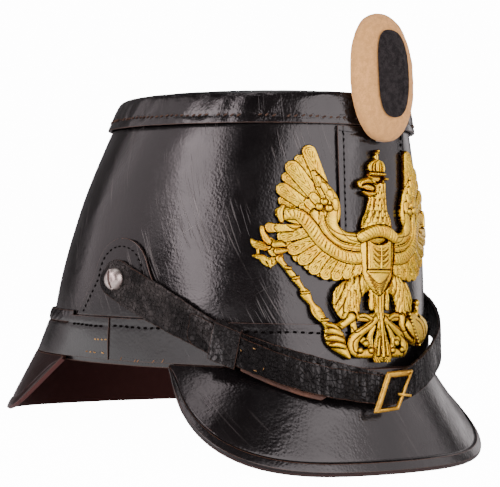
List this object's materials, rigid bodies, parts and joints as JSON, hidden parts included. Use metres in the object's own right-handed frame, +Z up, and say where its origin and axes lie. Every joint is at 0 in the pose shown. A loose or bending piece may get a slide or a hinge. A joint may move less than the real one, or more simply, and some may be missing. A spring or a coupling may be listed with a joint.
{
  "type": "leather shako hat",
  "caption": "Tall black leather military hat with front and rear visors, a gilt eagle plate, an oval wool field badge and a buckled chin strap.",
  "frame": {"origin": "middle of the object's box, on the surface that the hat's two visors stand on", "axes": "-Y is where the wearer looks, -X is the wearer's right hand side, +Z is up; the hat is tipped back onto its rear visor"},
  "size_m": [0.1954, 0.2534, 0.2152],
  "materials": {
    "lacquered_leather": "black lacquered, scratched and crazed",
    "strap_leather": "black, wrinkled, worn at the edges",
    "brown_leather": "raw brown",
    "gilt_brass": "gilt, dark in its recesses",
    "buckle_brass": "tarnished",
    "screw_steel": "polished, lightly pitted",
    "cream_wool": "cream wool cloth",
    "black_wool": "black wool cloth"
  },
  "bodies": {
    "root": {"crown_shell": "lacquered_leather", "top_lid": "lacquered_leather", "badge_panel": "lacquered_leather", "head_band_front": "lacquered_leather", "head_band_rear": "lacquered_leather", "head_band_rear_edge": "lacquered_leather", "side_tab_right": "lacquered_leather", "side_tab_left": "lacquered_leather", "front_visor": "lacquered_leather", "rear_visor": "lacquered_leather", "strap_near": "strap_leather", "strap_upper": "strap_leather", "strap_tongue": "brown_leather", "strap_keeper": "strap_leather", "buckle_frame": "buckle_brass", "buckle_prong": "buckle_brass", "strap_screw_right": "screw_steel", "strap_screw_left": "screw_steel", "badge_body": "cream_wool", "badge_centre": "black_wool", "badge_prong": "screw_steel", "eagle_plate": "gilt_brass"}
  },
  "joints": []
}
